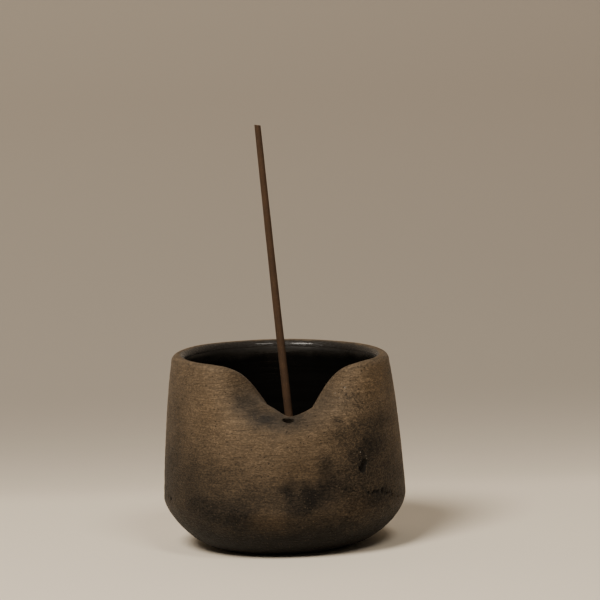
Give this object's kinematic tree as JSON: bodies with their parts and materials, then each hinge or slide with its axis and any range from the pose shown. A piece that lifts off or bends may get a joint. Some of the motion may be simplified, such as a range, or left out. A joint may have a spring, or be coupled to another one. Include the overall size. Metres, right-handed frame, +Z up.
{
  "type": "incense burner",
  "caption": "Small smoke-fired clay cup with a folded, pierced front lip that holds a plain incense stick over its glazed bowl.",
  "frame": {"origin": "centre of the flat foot, on the surface the cup stands on", "axes": "+Z up along the axis of the cup; the folded lip faces -Y"},
  "size_m": [0.0824, 0.0824, 0.1438],
  "materials": {
    "smoked_clay": "burnished, unglazed, with dark smoke clouds",
    "black_glaze": "gloss",
    "incense_paste": "matt rolled paste"
  },
  "bodies": {
    "burner": {"clay_body": "smoked_clay", "glaze_lining": "black_glaze"},
    "stick": {"incense_stick": "incense_paste"}
  },
  "joints": [
    {"name": "stick_pull", "type": "slide", "parent": "burner", "child": "stick", "axis": [-0.0746, 0.1045, 0.9917], "range_m": [0, 0.065]}
  ]
}
